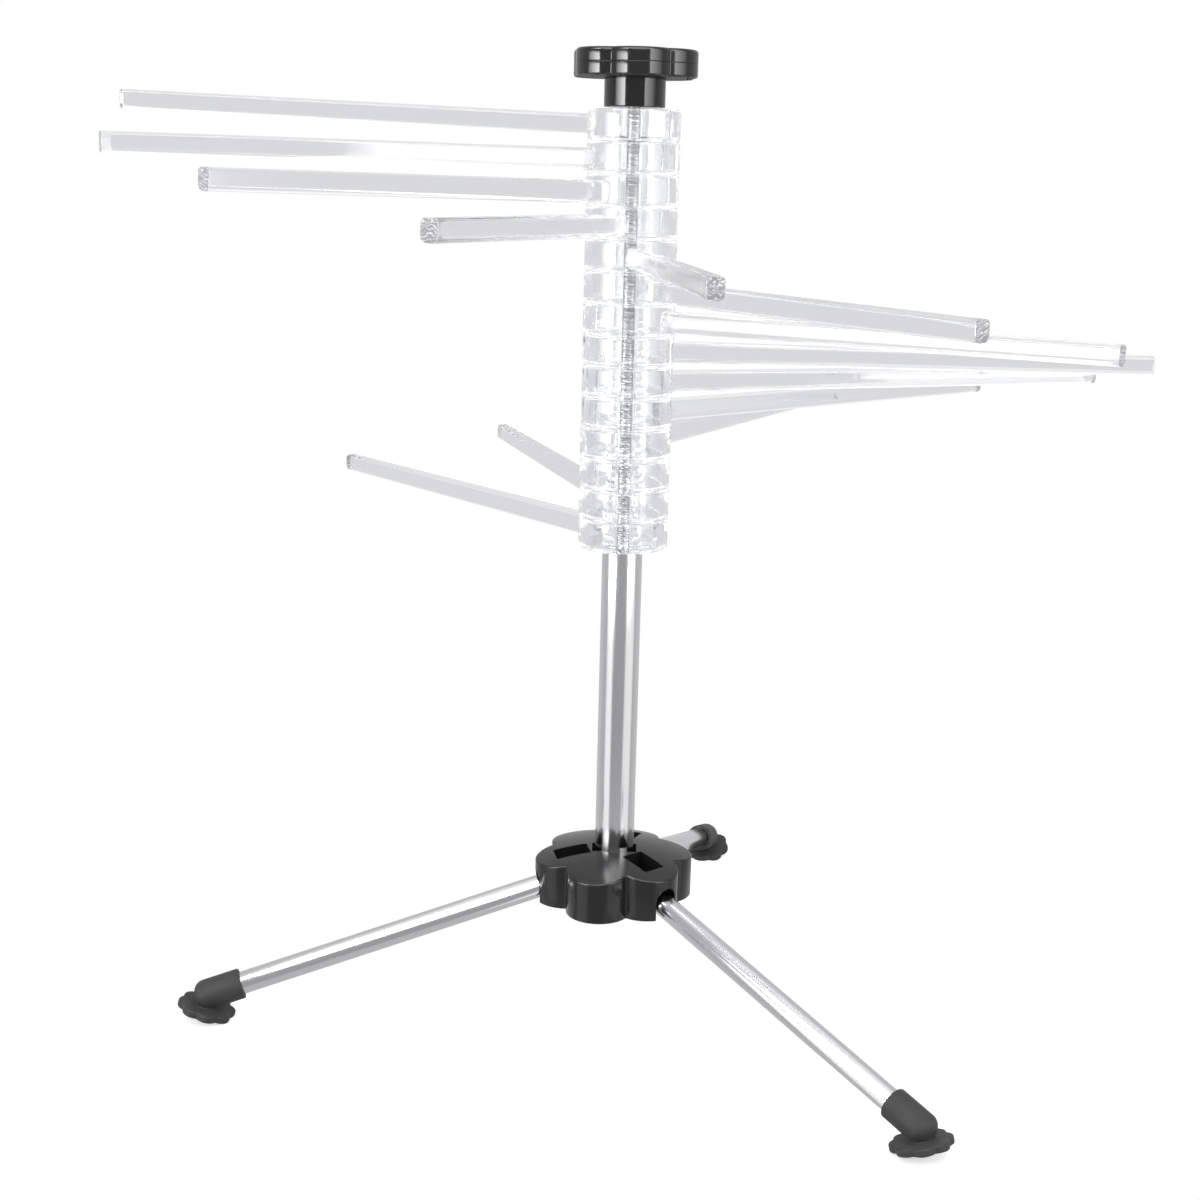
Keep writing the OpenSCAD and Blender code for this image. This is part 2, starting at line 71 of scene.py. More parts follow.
view = bpy.data.cameras.new("view")
view.lens = VIEW_LENS
view.sensor_width = VIEW_SENSOR
view_object = bpy.data.objects.new("view", view)
bpy.context.scene.collection.objects.link(view_object)
turned = aim(VIEW_TURN, VIEW_DOWN, VIEW_ROLL).to_4x4()
view_object.matrix_world = Matrix.Translation((0, -VIEW_BACK, VIEW_HEIGHT)) @ turned
bpy.context.scene.camera = view_object
bpy.context.scene.view_settings.view_transform = "Standard"


# Studio
# A white table in a pale room, with two soft lamps at the front and one at the back. The background is
# white to the camera. White cards, and the walls that metal, gloss and clear plastic show, are apart.
FLOOR_RADIUS = 1.0
FLOOR_COLOR = (0.86, 0.86, 0.86, 1)
FLOOR_GLOW = 0.5
# The camera sees the table only from above and where something near it casts a shadow, out by the feet.
# Elsewhere it sees the same white behind it, and legs that are folded down. The table fades out as it
# gets this open, and between these distances from its middle.
SHADOW_REACH = 50 * MM
OPEN_RANGE = (0.85, 0.99)
MIDDLE_FADE = (140 * MM, 110 * MM)
# The room as dull, glossy and clear surfaces see it: greys of its front, back, top and floor, and the
# heights between which the walls turn to the top.
ROOMS = {
    "dull": (0.26, 0.72, 1.05, 0.4, 0.25, 0.75),
    "Is Glossy Ray": (0.44, 0.68, 1.1, 0.64, 0.75, 0.95),
    "Is Transmission Ray": (1.0, 0.72, 1.1, 0.85, 0.3, 0.6),
}
FLOOR_TURN = (-0.35, -0.7)
# Each lamp: turn from the camera's side, height of its middle, distance, width, height and power.
LAMPS = [(-58, 0.45, 1.3, 0.75, 1.2, 12.0), (60, 0.45, 1.3, 0.9, 1.2, 9.0), (170, 0.75, 1.5, 1.1, 0.8, 8.0)]
# Each standing card: turn from the camera's side, width in degrees, lowest and highest edge, and the
# brightness at its left and right ends, seen from the rack's far side.
CARD_DISTANCE = 1.6
CARDS = [(-57, 40, 0.1, 0.65, 2.0, 20.0), (-57, 40, 1.3, 1.9, 2.0, 20.0), (60, 46, 0.1, 1.9, 7.5, 0.6),
         (-57, 38, -1.6, 0.1, 1.2, 1.2), (60, 50, -1.6, 0.1, 1.1, 1.1)]
# Each card overhead: half its width, its near and far edges, its height and brightness.
TOP_CARDS = [(0.9, -2.6, -0.7, 1.5, 5.0), (0.9, -0.62, -0.35, 1.5, 7.0)]


def placed(name, data):
    made = bpy.data.objects.new(name, data)
    bpy.context.scene.collection.objects.link(made)
    return made


def node(tree, kind, **inputs):
    made = tree.nodes.new(kind)
    for key, value in inputs.items():
        made.inputs[key.replace("_", " ")].default_value = value
    return made


def mixed(tree, factor, first, second):
    """A mix of two colours, each a value or another node's output."""
    made = tree.nodes.new("ShaderNodeMix")
    made.data_type = "RGBA"
    tree.links.new(factor, made.inputs["Factor"])
    for socket, value in ((made.inputs[6], first), (made.inputs[7], second)):
        if isinstance(value, tuple):
            socket.default_value = value
        else:
            tree.links.new(value, socket)
    return made.outputs[2]


def worked(tree, operation, first, second):
    """The sum, product, larger or so on of two values, each a number or another node's output."""
    made = tree.nodes.new("ShaderNodeMath")
    made.operation = operation
    for socket, value in zip(made.inputs, (first, second)):
        if isinstance(value, float):
            socket.default_value = value
        else:
            tree.links.new(value, socket)
    return made.outputs[0]


def grey(level):
    return (level, level, level * 1.015, 1)


def openness(tree):
    """How open the table is to what is above it, from 0 under a foot to 1 away from everything."""
    above = node(tree, "ShaderNodeAmbientOcclusion", Distance=SHADOW_REACH)
    clear = node(tree, "ShaderNodeMapRange", From_Min=OPEN_RANGE[0], From_Max=OPEN_RANGE[1])
    tree.links.new(above.outputs["AO"], clear.inputs["Value"])
    return clear.outputs[0]


def in_middle(tree, place):
    """1 in the middle of the table, where folded legs pass its level, and 0 out by the feet."""
    away = node(tree, "ShaderNodeVectorMath")
    away.operation = "LENGTH"
    tree.links.new(place, away.inputs[0])
    fade = node(tree, "ShaderNodeMapRange", From_Min=MIDDLE_FADE[0], From_Max=MIDDLE_FADE[1])
    tree.links.new(away.outputs["Value"], fade.inputs["Value"])
    return fade.outputs[0]


def studio_floor():
    """The table: it keeps shadows, and glossy and clear surfaces see the room through it."""
    shape = bmesh.new()
    bmesh.ops.create_circle(shape, cap_ends=True, segments=96, radius=FLOOR_RADIUS)
    mesh = bpy.data.meshes.new("floor")
    shape.to_mesh(mesh)
    shape.free()
    paint = bpy.data.materials.new("table_white")
    paint.use_nodes = True
    tree = paint.node_tree
    shader = tree.nodes["Principled BSDF"]
    shader.inputs["Base Color"].default_value = FLOOR_COLOR
    shader.inputs["Roughness"].default_value = 0.9
    shader.inputs["Specular IOR Level"].default_value = 0.1
    shader.inputs["Emission Color"].default_value = (1, 1, 1, 1)
    seen = tree.nodes.new("ShaderNodeLightPath")
    glow = node(tree, "ShaderNodeMapRange", To_Max=FLOOR_GLOW)
    tree.links.new(seen.outputs["Is Camera Ray"], glow.inputs["Value"])
    tree.links.new(glow.outputs[0], shader.inputs["Emission Strength"])
    surface = tree.nodes.new("ShaderNodeNewGeometry")
    unseen = worked(tree, "MAXIMUM", openness(tree), surface.outputs["Backfacing"])
    unseen = worked(tree, "MAXIMUM", unseen, in_middle(tree, surface.outputs["Position"]))
    unseen = worked(tree, "MULTIPLY", unseen, seen.outputs["Is Camera Ray"])
    for kind in ("Is Glossy Ray", "Is Transmission Ray"):
        unseen = worked(tree, "MAXIMUM", unseen, seen.outputs[kind])
    gone = tree.nodes.new("ShaderNodeBsdfTransparent")
    choice = tree.nodes.new("ShaderNodeMixShader")
    tree.links.new(unseen, choice.inputs[0])
    tree.links.new(shader.outputs[0], choice.inputs[1])
    tree.links.new(gone.outputs[0], choice.inputs[2])
    tree.links.new(choice.outputs[0], tree.nodes["Material Output"].inputs["Surface"])
    mesh.materials.append(paint)
    placed("floor", mesh)


def walls(tree, way, front, back, top, floor, turn_low, turn_high):
    """Greys of the room by direction: from its front to its back, up to its top and down to its floor."""
    depth = node(tree, "ShaderNodeMapRange", From_Min=-0.5, From_Max=0.5)
    tree.links.new(way.outputs["Y"], depth.inputs["Value"])
    height = node(tree, "ShaderNodeMapRange", From_Min=turn_low, From_Max=turn_high)
    tree.links.new(way.outputs["Z"], height.inputs["Value"])
    side = mixed(tree, height.outputs[0], mixed(tree, depth.outputs[0], grey(front), grey(back)), grey(top))
    below = node(tree, "ShaderNodeMapRange", From_Min=FLOOR_TURN[0], From_Max=FLOOR_TURN[1])
    tree.links.new(way.outputs["Z"], below.inputs["Value"])
    return mixed(tree, below.outputs[0], side, grey(floor))


def room():
    world = bpy.data.worlds.new("room")
    world.use_nodes = True
    bpy.context.scene.world = world
    tree = world.node_tree
    place = tree.nodes.new("ShaderNodeTexCoord")
    way = tree.nodes.new("ShaderNodeSeparateXYZ")
    tree.links.new(place.outputs["Generated"], way.inputs[0])
    seen = tree.nodes.new("ShaderNodeLightPath")
    shown = walls(tree, way, *ROOMS["dull"])
    for kind in ("Is Glossy Ray", "Is Transmission Ray"):
        shown = mixed(tree, seen.outputs[kind], shown, walls(tree, way, *ROOMS[kind]))
    shown = mixed(tree, seen.outputs["Is Camera Ray"], shown, (1, 1, 1, 1))
    tree.links.new(shown, tree.nodes["Background"].inputs["Color"])


def facing_middle(turn, distance, height):
    turn = math.radians(turn)
    spot = Vector((math.sin(turn) * distance, -math.cos(turn) * distance, height))
    inward = (-Vector((spot.x, spot.y, 0))).to_track_quat("-Z", "Y")
    return Matrix.Translation(spot) @ inward.to_matrix().to_4x4()


def soft_lamp(index, turn, height, distance, width, tall, power):
    lamp = bpy.data.lights.new(f"lamp_{index}", "AREA")
    lamp.shape = "RECTANGLE"
    lamp.size, lamp.size_y, lamp.energy = width, tall, power
    made = placed(lamp.name, lamp)
    made.matrix_world = facing_middle(turn, distance, height)
    made.visible_glossy = made.visible_transmission = made.visible_camera = False


def white_card(name, place, corners, first, last):
    """A glowing card, from one brightness at its first corner's end to another at the far end."""
    mesh = bpy.data.meshes.new(name)
    mesh.from_pydata([(x, y, 0) for x, y in corners], [], [(0, 1, 2, 3)])
    across = mesh.uv_layers.new(name="across")
    for loop, u in zip(across.data, (0, 1, 1, 0)):
        loop.uv = (u, 0.5)
    glow = bpy.data.materials.new(name)
    glow.use_nodes = True
    tree = glow.node_tree
    tree.nodes.clear()
    way = tree.nodes.new("ShaderNodeTexCoord")
    parts = tree.nodes.new("ShaderNodeSeparateXYZ")
    tree.links.new(way.outputs["UV"], parts.inputs[0])
    level = node(tree, "ShaderNodeMapRange", To_Min=first, To_Max=last)
    tree.links.new(parts.outputs["X"], level.inputs["Value"])
    light = tree.nodes.new("ShaderNodeEmission")
    tree.links.new(level.outputs[0], light.inputs["Strength"])
    out = tree.nodes.new("ShaderNodeOutputMaterial")
    tree.links.new(light.outputs[0], out.inputs[0])
    mesh.materials.append(glow)
    mesh.transform(place)
    card = placed(name, mesh)
    card.visible_camera = card.visible_diffuse = card.visible_shadow = False


def standing_card(index, turn, wide, low, high, first, last):
    half = CARD_DISTANCE * math.tan(math.radians(wide / 2))
    corners = [(-half, low), (half, low), (half, high), (-half, high)]
    white_card(f"card_{index}", facing_middle(turn, CARD_DISTANCE, 0), corners, first, last)


def top_card(index, half, near, far, height, brightness):
    corners = [(-half, near), (half, near), (half, far), (-half, far)]
    white_card(f"card_top_{index}", Matrix.Translation((0, 0, height)), corners, brightness, brightness)


studio_floor()
room()
for index, lamp in enumerate(LAMPS):
    soft_lamp(index, *lamp)
for index, card in enumerate(CARDS):
    standing_card(index, *card)
for index, card in enumerate(TOP_CARDS):
    top_card(index, *card)
# Light crosses up to four walls in each ring, and it may meet several rings and arms, or run along one.
bpy.context.scene.cycles.max_bounces = 32
bpy.context.scene.cycles.transmission_bounces = 32
bpy.context.scene.cycles.glossy_bounces = 32


# Hub
# The foot's body, moulded in glossy black plastic: six lobes under one crowned top, with a slot over each
# leg, an arched notch at its outer end, and a ring of relief round the post. Its edges are rounded.
LOBES = 6
VALLEY = 0.9
VALLEY_STEPS = 5
LOBE_STEPS = 24
LEGS = ("left", "front", "back")
HUB_D = 78.0
HUB_LOBE_D = 30.8
HUB_H = 19.8
HUB_CROWN = 5.9
HUB_EDGE = 0.9
# The lower edge: each ring's share of the outline and its height.
LOWER_EDGE = ((0.98, 0), (0.994, 0), (1, 0.3))
PIVOT_UP = 11.1
FLOOR_UP = 12.8
FLOOR_T = 4.0
PLATE_T = 3.0
HUB_WALL = 2.4
RELIEF_H = 4.0
RELIEF_W = 1.3
RELIEF_LEN = 11.0
RELIEF_FRONT = 1.8
SLOT_W = 12.0
SLOT_IN = 12.8
SLOT_OUT = 29.5
BRIDGE_W = 4.0
TUNNEL_RUN = 2.0
ARCH_H = 15.3
NUT_WELL_D = 18.0
LEG_D = 10.9
LEG_SLOPE = math.radians(16.2)
PIVOT_R = 21.0
PIN_D = 4.0
PIN_LEN = 22.0
ROD_D = 5.9
POST_D = 19.0
GAP = 0.3
FIT = 0.05
# How far a cutter runs past a face, or a joined shape into its neighbour
PAST = 1.0
BLACK_GLOSS = (0.012, 0.012, 0.013)
folds = {j["name"]: j for j in frame["joints"]}
leg_turns = {}
for leg in LEGS:
    fold_axis = folds[f"{leg}_leg_fold"]["axis"]
    leg_turns[leg] = math.atan2(-fold_axis[0], fold_axis[1])
PIVOT_Z = folds["left_leg_fold"]["pos_m"][2] / MM
HUB_Z = PIVOT_Z - PIVOT_UP
HUB_TURN = leg_turns["left"]
CROWN_Z = HUB_Z + HUB_H + HUB_CROWN
CROWN_R = (HUB_D ** 2 / 4 + HUB_CROWN ** 2) / (2 * HUB_CROWN)


def piece(name, shape, material, body, *nodes, smooth=35):
    """Makes a mesh object from a bmesh in millimetres, which rides on a body and stands for CAD nodes."""
    bmesh.ops.scale(shape, vec=(MM, MM, MM), verts=shape.verts)
    bmesh.ops.recalc_face_normals(shape, faces=shape.faces)
    mesh = bpy.data.meshes.new(name)
    shape.to_mesh(mesh)
    shape.free()
    mesh.materials.append(material)
    mesh.shade_smooth()
    mesh.set_sharp_from_angle(angle=math.radians(smooth))
    made = placed(name, mesh)
    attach(made, body)
    if nodes:
        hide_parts(*nodes)
    return made


def flower(out, radius, turn, steps, fillet):
    """Points round a six-lobed outline, along each lobe and then round the fillet in each valley."""
    half = math.pi / LOBES
    far = out * math.cos(half) + math.sqrt((radius + fillet) ** 2 - (out * math.sin(half)) ** 2)
    reach = math.atan2(far * math.sin(half), far * math.cos(half) - out)
    swing = reach - half
    lobe = [Vector((out + radius * math.cos(reach * a), radius * math.sin(reach * a)))
            for a in [2 * step / steps - 1 for step in range(steps + 1)]]
    for k in range(1, VALLEY_STEPS):
        a = half + math.pi + swing * (1 - 2 * k / VALLEY_STEPS)
        lobe.append(Vector((far * math.cos(half) + fillet * math.cos(a),
                            far * math.sin(half) + fillet * math.sin(a))))
    return [Matrix.Rotation(turn + k * 2 * half, 2) @ spot for k in range(LOBES) for spot in lobe]


def loft(shape, rings):
    """Joins closed rings of points, in order, and closes the ends."""
    made = [[shape.verts.new(p) for p in ring] for ring in rings]
    count = len(made[0])
    for low, high in zip(made, made[1:]):
        for i in range(count):
            shape.faces.new((low[i], low[(i + 1) % count], high[(i + 1) % count], high[i]))
    shape.faces.new(reversed(made[0]))
    shape.faces.new(made[-1])


def circle(radius, steps):
    """Points round a circle."""
    turns = [2 * math.pi * i / steps for i in range(steps)]
    return [(radius * math.cos(turn), radius * math.sin(turn)) for turn in turns]


def rod_shape(radius, low, high, steps=64, place=Matrix()):
    """A plain cylinder along Z, for cutting and for pins."""
    shape = bmesh.new()
    loft(shape, [[(x, y, z) for x, y in circle(radius, steps)] for z in (low, high)])
    shape.transform(place)
    return shape


def block_shape(low, high, place=Matrix()):
    shape = bmesh.new()
    corners = [(low[0], low[1]), (high[0], low[1]), (high[0], high[1]), (low[0], high[1])]
    loft(shape, [[(x, y, z) for x, y in corners] for z in (low[2], high[2])])
    shape.transform(place)
    return shape


def channel_shape(radius, start, end, drop, place):
    """A way along X, round above and open below."""
    steps = 32
    outline = [(radius * math.cos(math.pi * i / steps), radius * math.sin(math.pi * i / steps))
               for i in range(steps + 1)] + [(-radius, -drop), (radius, -drop)]
    shape = bmesh.new()
    loft(shape, [[(x, y, z) for y, z in outline] for x in (start, end)])
    shape.transform(place)
    return shape


def stand_in(name, shape):
    """An object that holds a shape while modifiers work on it."""
    bmesh.ops.recalc_face_normals(shape, faces=shape.faces)
    made = placed(name, bpy.data.meshes.new(name))
    shape.to_mesh(made.data)
    shape.free()
    return made


def combined(shape, cutters, operation="DIFFERENCE"):
    """Cuts other shapes out of one, or joins them to it, and gives the result as a new shape."""
    base = stand_in("base", shape)
    others = []
    for cutter in cutters:
        other = stand_in("other", cutter)
        others.append(other)
        step = base.modifiers.new("cut", "BOOLEAN")
        step.operation, step.solver, step.object = operation, "EXACT", other
    graph = bpy.context.evaluated_depsgraph_get()
    result = bmesh.new()
    result.from_mesh(base.evaluated_get(graph).to_mesh())
    for used in [base, *others]:
        bpy.data.objects.remove(used)
    bmesh.ops.remove_doubles(result, verts=result.verts, dist=1e-4)
    return result


def leg_place(leg):
    """A leg's own frame: its pivot is the origin and the leg runs along X, at its opened slope."""
    turn = Matrix.Rotation(leg_turns[leg], 4, "Z")
    return turn @ Matrix.Translation((PIVOT_R, 0, PIVOT_Z)) @ Matrix.Rotation(LEG_SLOPE, 4, "Y")


def crown_height(x, y):
    return CROWN_Z - CROWN_R + math.sqrt(CROWN_R ** 2 - x * x - y * y)


def hub_shape():
    out = (HUB_D - HUB_LOBE_D) / 2
    bands, edge_steps = 26, 5
    hole = POST_D / 2 - 1
    shape = bmesh.new()
    rings = []
    inner = flower(out, HUB_LOBE_D / 2 - HUB_EDGE, HUB_TURN, LOBE_STEPS, VALLEY + HUB_EDGE)
    outer = flower(out, HUB_LOBE_D / 2, HUB_TURN, LOBE_STEPS, VALLEY)
    for share, rise in LOWER_EDGE:
        rings.append([(p.x * share, p.y * share, HUB_Z + rise) for p in outer])
    for i in range(edge_steps + 1):
        a = math.pi / 2 * i / edge_steps
        ring = []
        for p, q in zip(inner, outer):
            spot = p + (q - p) * math.cos(a)
            top = crown_height(*p)
            ring.append((spot.x, spot.y, top - HUB_EDGE * (1 - math.sin(a))))
        rings.append(ring)
    for i in range(1, bands):
        share = i / bands
        ring = []
        for p in inner:
            spot = p.normalized() * hole * share + p * (1 - share)
            ring.append((spot.x, spot.y, crown_height(spot.x, spot.y)))
        rings.append(ring)
    loft(shape, rings)
    return shape


def hub_cutters():
    cutters = [
        rod_shape(POST_D / 2 + FIT, HUB_Z + FLOOR_UP, CROWN_Z + PAST, 96),
        block_shape((-POST_D / 2 - RELIEF_W, -RELIEF_FRONT - RELIEF_LEN / 2, CROWN_Z - RELIEF_H),
                    (POST_D / 2 + RELIEF_W, -RELIEF_FRONT + RELIEF_LEN / 2, CROWN_Z + PAST)),
        rod_shape(ROD_D / 2 + FIT, HUB_Z - PAST, CROWN_Z, 32),
        rod_shape(NUT_WELL_D / 2, HUB_Z - PAST, HUB_Z + FLOOR_UP - FLOOR_T),
    ]
    plate = bmesh.new()
    out = (HUB_D - HUB_LOBE_D) / 2
    outline = flower(out, HUB_LOBE_D / 2 - HUB_WALL, HUB_TURN, LOBE_STEPS, VALLEY + HUB_WALL)
    loft(plate, [[(p.x, p.y, z) for p in outline] for z in (HUB_Z - PAST, HUB_Z + PLATE_T)])
    cutters.append(plate)
    for leg in LEGS:
        turn = Matrix.Rotation(leg_turns[leg], 4, "Z")
        slot = ((SLOT_IN, -SLOT_W / 2, HUB_Z - PAST), (SLOT_OUT, SLOT_W / 2, CROWN_Z + PAST))
        cutters.append(block_shape(*slot, turn))
        arch = Matrix.Translation((0, 0, HUB_Z + ARCH_H - SLOT_W / 2))
        cutters.append(channel_shape(SLOT_W / 2, SLOT_OUT + BRIDGE_W, HUB_D / 2 + PAST, ARCH_H, turn @ arch))
        bridge = SLOT_OUT - PIVOT_R
        tunnel = (bridge - TUNNEL_RUN, bridge + BRIDGE_W + TUNNEL_RUN)
        cutters.append(channel_shape(LEG_D / 2 + GAP, *tunnel, 2 * PIVOT_UP, leg_place(leg)))
        pin = PIN_D / 2 + FIT
        cutters.append(block_shape((PIVOT_R - pin, -PIN_LEN / 2, HUB_Z - PAST),
                                   (PIVOT_R + pin, PIN_LEN / 2, PIVOT_Z + pin), turn))
    return cutters


def grain_group():
    """Fine grain and broad unevenness of a moulded or rubbed surface."""
    group = bpy.data.node_groups.new("surface_grain", "ShaderNodeTree")
    face = group.interface
    face.new_socket("Vector", in_out="INPUT", socket_type="NodeSocketVector")
    for name, value in (("Grain", 2200.0), ("Patch", 60.0)):
        face.new_socket(name, in_out="INPUT", socket_type="NodeSocketFloat").default_value = value
    for name in ("Fine", "Broad"):
        face.new_socket(name, in_out="OUTPUT", socket_type="NodeSocketFloat")
    way_in = group.nodes.new("NodeGroupInput")
    way_out = group.nodes.new("NodeGroupOutput")
    for name, scale, detail in (("Fine", "Grain", 3.0), ("Broad", "Patch", 5.0)):
        noise = node(group, "ShaderNodeTexNoise", Detail=detail)
        group.links.new(way_in.outputs["Vector"], noise.inputs["Vector"])
        group.links.new(way_in.outputs[scale], noise.inputs["Scale"])
        group.links.new(noise.outputs["Fac"], way_out.inputs[name])
    return group


surface_grain = grain_group()


def finish(name, color, roughness, metallic=0.0):
    """A new material with its colour, roughness and metal set on the shader."""
    made = bpy.data.materials.new(name)
    made.use_nodes = True
    shader = made.node_tree.nodes["Principled BSDF"]
    shader.inputs["Base Color"].default_value = (*color, 1)
    shader.inputs["Roughness"].default_value = roughness
    shader.inputs["Metallic"].default_value = metallic
    return made, made.node_tree, shader


def tinted(tree, shader, factor, color, darker, lighter):
    """Lets a surface's colour run from a darker to a lighter share of it."""
    low = (*[c * darker for c in color], 1)
    high = (*[min(1, c * lighter) for c in color], 1)
    tree.links.new(mixed(tree, factor, low, high), shader.inputs["Base Color"])


def roughened(tree, shader, factor, low, high):
    """Lets a surface's roughness follow a noise, whose values lie mostly from 0.3 to 0.7."""
    level = node(tree, "ShaderNodeMapRange", From_Min=0.3, From_Max=0.7, To_Min=low, To_Max=high)
    tree.links.new(factor, level.inputs["Value"])
    tree.links.new(level.outputs[0], shader.inputs["Roughness"])


def embossed(tree, shader, height, strength, depth):
    """Gives a surface a fine relief, with its depth in millimetres."""
    relief = node(tree, "ShaderNodeBump", Strength=strength, Distance=depth * MM)
    tree.links.new(height, relief.inputs["Height"])
    tree.links.new(relief.outputs[0], shader.inputs["Normal"])


def grains_of(tree, grain, patch):
    """The shared grain in a material's own sizes."""
    way = tree.nodes.new("ShaderNodeTexCoord")
    grains = tree.nodes.new("ShaderNodeGroup")
    grains.node_tree = surface_grain
    grains.inputs["Grain"].default_value = grain
    grains.inputs["Patch"].default_value = patch
    tree.links.new(way.outputs["Object"], grains.inputs["Vector"])
    return grains


def grained(tree, shader, color, rough, spread, grain, patch, bump):
    """Varies a shader's colour and roughness in patches and gives it a fine grain."""
    grains = grains_of(tree, grain, patch)
    tinted(tree, shader, grains.outputs["Broad"], color, 1 - spread, 1 + spread)
    roughened(tree, shader, grains.outputs["Broad"], *rough)
    embossed(tree, shader, grains.outputs["Fine"], strength=bump, depth=0.1)


def black_finish(name, rough, shine):
    made, tree, shader = finish(name, BLACK_GLOSS, rough)
    shader.inputs["Specular IOR Level"].default_value = shine
    grained(tree, shader, BLACK_GLOSS, (rough - 0.03, rough + 0.04),
            spread=0.25, grain=700.0, patch=45.0, bump=0.12)
    return made


black_hub = black_finish("black_gloss_hub", 0.18, 0.4)
piece("hub", combined(hub_shape(), hub_cutters()), black_hub, "stand", "hub_body")


# Base plate, leg eyes, pins and screws
# The satin black plate closes the hub from below and holds the pins up. The nylon eyes turn on zinc
# plated steel pins, and three screws of the same steel hold the plate.
BLACK_SATIN = (0.02, 0.02, 0.021)
ZINC = (0.62, 0.62, 0.63)


def black_satin_finish():
    made, tree, shader = finish("black_satin", BLACK_SATIN, 0.5)
    grained(tree, shader, BLACK_SATIN, (0.45, 0.6), spread=0.2, grain=1500.0, patch=60.0, bump=0.3)
    shader.inputs["Specular IOR Level"].default_value = 0.25
    return made


def zinc_finish():
    made, tree, shader = finish("zinc", ZINC, 0.42, 1.0)
    grained(tree, shader, ZINC, (0.36, 0.5), spread=0.12, grain=1200.0, patch=160.0, bump=0.15)
    return made


def refinish(node_name, material):
    mesh = frame["nodes"][node_name].data
    mesh.materials.clear()
    mesh.materials.append(material)


black_satin = black_satin_finish()
zinc = zinc_finish()
refinish("hub_base", black_satin)
refinish("hub_screws", zinc)
for leg in LEGS:
    refinish(f"leg_eye_{leg}", black_satin)
    refinish(f"leg_pin_{leg}", zinc)


# Post and leg tubes
# Welded stainless tube, polished along its length, which leaves fine lines that run with the tube. The
# post stands in the hub, and each leg's tube turns with its eye.
POST_WALL = 1.2
POST_LEN = 161.6
LEG_WALL = 0.8
LEG_REACH = 187.2
DOME_TO_PAD = 3.2
EYE_D = 12.4
EYE_NECK = 2.5
TUBE_RIM = 0.25
STEEL = (0.7, 0.7, 0.71)
STEEL_ROUGH = 0.15
POST_Z = HUB_Z + FLOOR_UP


def lathe(section, steps, place=Matrix()):
    """Turns a closed section of (radius, height) points about Z, with a UV map in metres round and along."""
    shape = bmesh.new()
    widest = max(r for r, z in section)
    rings = []
    for r, z in section:
        rings.append([shape.verts.new((x, y, z)) for x, y in circle(r, steps)])
    uv = shape.loops.layers.uv.new("along")
    for k, ring in enumerate(rings):
        following = rings[(k + 1) % len(rings)]
        low, high = section[k], section[(k + 1) % len(rings)]
        for i in range(steps):
            j = (i + 1) % steps
            face = shape.faces.new((ring[i], ring[j], following[j], following[i]))
            spots = ((i, low), (i + 1, low), (i + 1, high), (i, high))
            for loop, (turn, (r, z)) in zip(face.loops, spots):
                loop[uv].uv = (2 * math.pi * turn / steps * widest * MM, z * MM)
    bmesh.ops.remove_doubles(shape, verts=shape.verts, dist=1e-5)
    shape.transform(place)
    return shape


def rounded(points, radii, steps=4):
    """A closed section with its corners rounded, each by its own radius."""
    made = []
    count = len(points)
    for k, radius in enumerate(radii):
        here = Vector(points[k])
        if radius <= 0:
            made.append(tuple(here))
            continue
        back = (Vector(points[k - 1]) - here).normalized()
        ahead = (Vector(points[(k + 1) % count]) - here).normalized()
        half = back.angle(ahead) / 2
        centre = here + (back + ahead).normalized() * radius / math.sin(half)
        start = here + back * radius / math.tan(half) - centre
        sweep = start.angle_signed(here + ahead * radius / math.tan(half) - centre)
        for i in range(steps + 1):
            spot = start.copy()
            spot.rotate(Matrix.Rotation(-sweep * i / steps, 2))
            made.append(tuple(centre + spot))
    return made


def tube_section(radius, wall, low, high):
    corners = [(radius - wall, low), (radius, low), (radius, high), (radius - wall, high)]
    return rounded(corners, [TUBE_RIM] * 4, 3)


def lines_group():
    """Fine lines along a tube, from the polishing belt."""
    group = bpy.data.node_groups.new("polish_lines", "ShaderNodeTree")
    face = group.interface
    face.new_socket("Vector", in_out="INPUT", socket_type="NodeSocketVector")
    for name, value in (("Across", 1500.0), ("Along", 5.0)):
        face.new_socket(name, in_out="INPUT", socket_type="NodeSocketFloat").default_value = value
    face.new_socket("Lines", in_out="OUTPUT", socket_type="NodeSocketFloat")
    way_in = group.nodes.new("NodeGroupInput")
    way_out = group.nodes.new("NodeGroupOutput")
    sizes = group.nodes.new("ShaderNodeCombineXYZ")
    group.links.new(way_in.outputs["Across"], sizes.inputs["X"])
    group.links.new(way_in.outputs["Along"], sizes.inputs["Y"])
    stretch = group.nodes.new("ShaderNodeVectorMath")
    stretch.operation = "MULTIPLY"
    group.links.new(way_in.outputs["Vector"], stretch.inputs[0])
    group.links.new(sizes.outputs[0], stretch.inputs[1])
    noise = node(group, "ShaderNodeTexNoise", Scale=1.0, Detail=4.0, Roughness=0.6)
    group.links.new(stretch.outputs[0], noise.inputs["Vector"])
    group.links.new(noise.outputs["Fac"], way_out.inputs["Lines"])
    return group


polish_lines = lines_group()


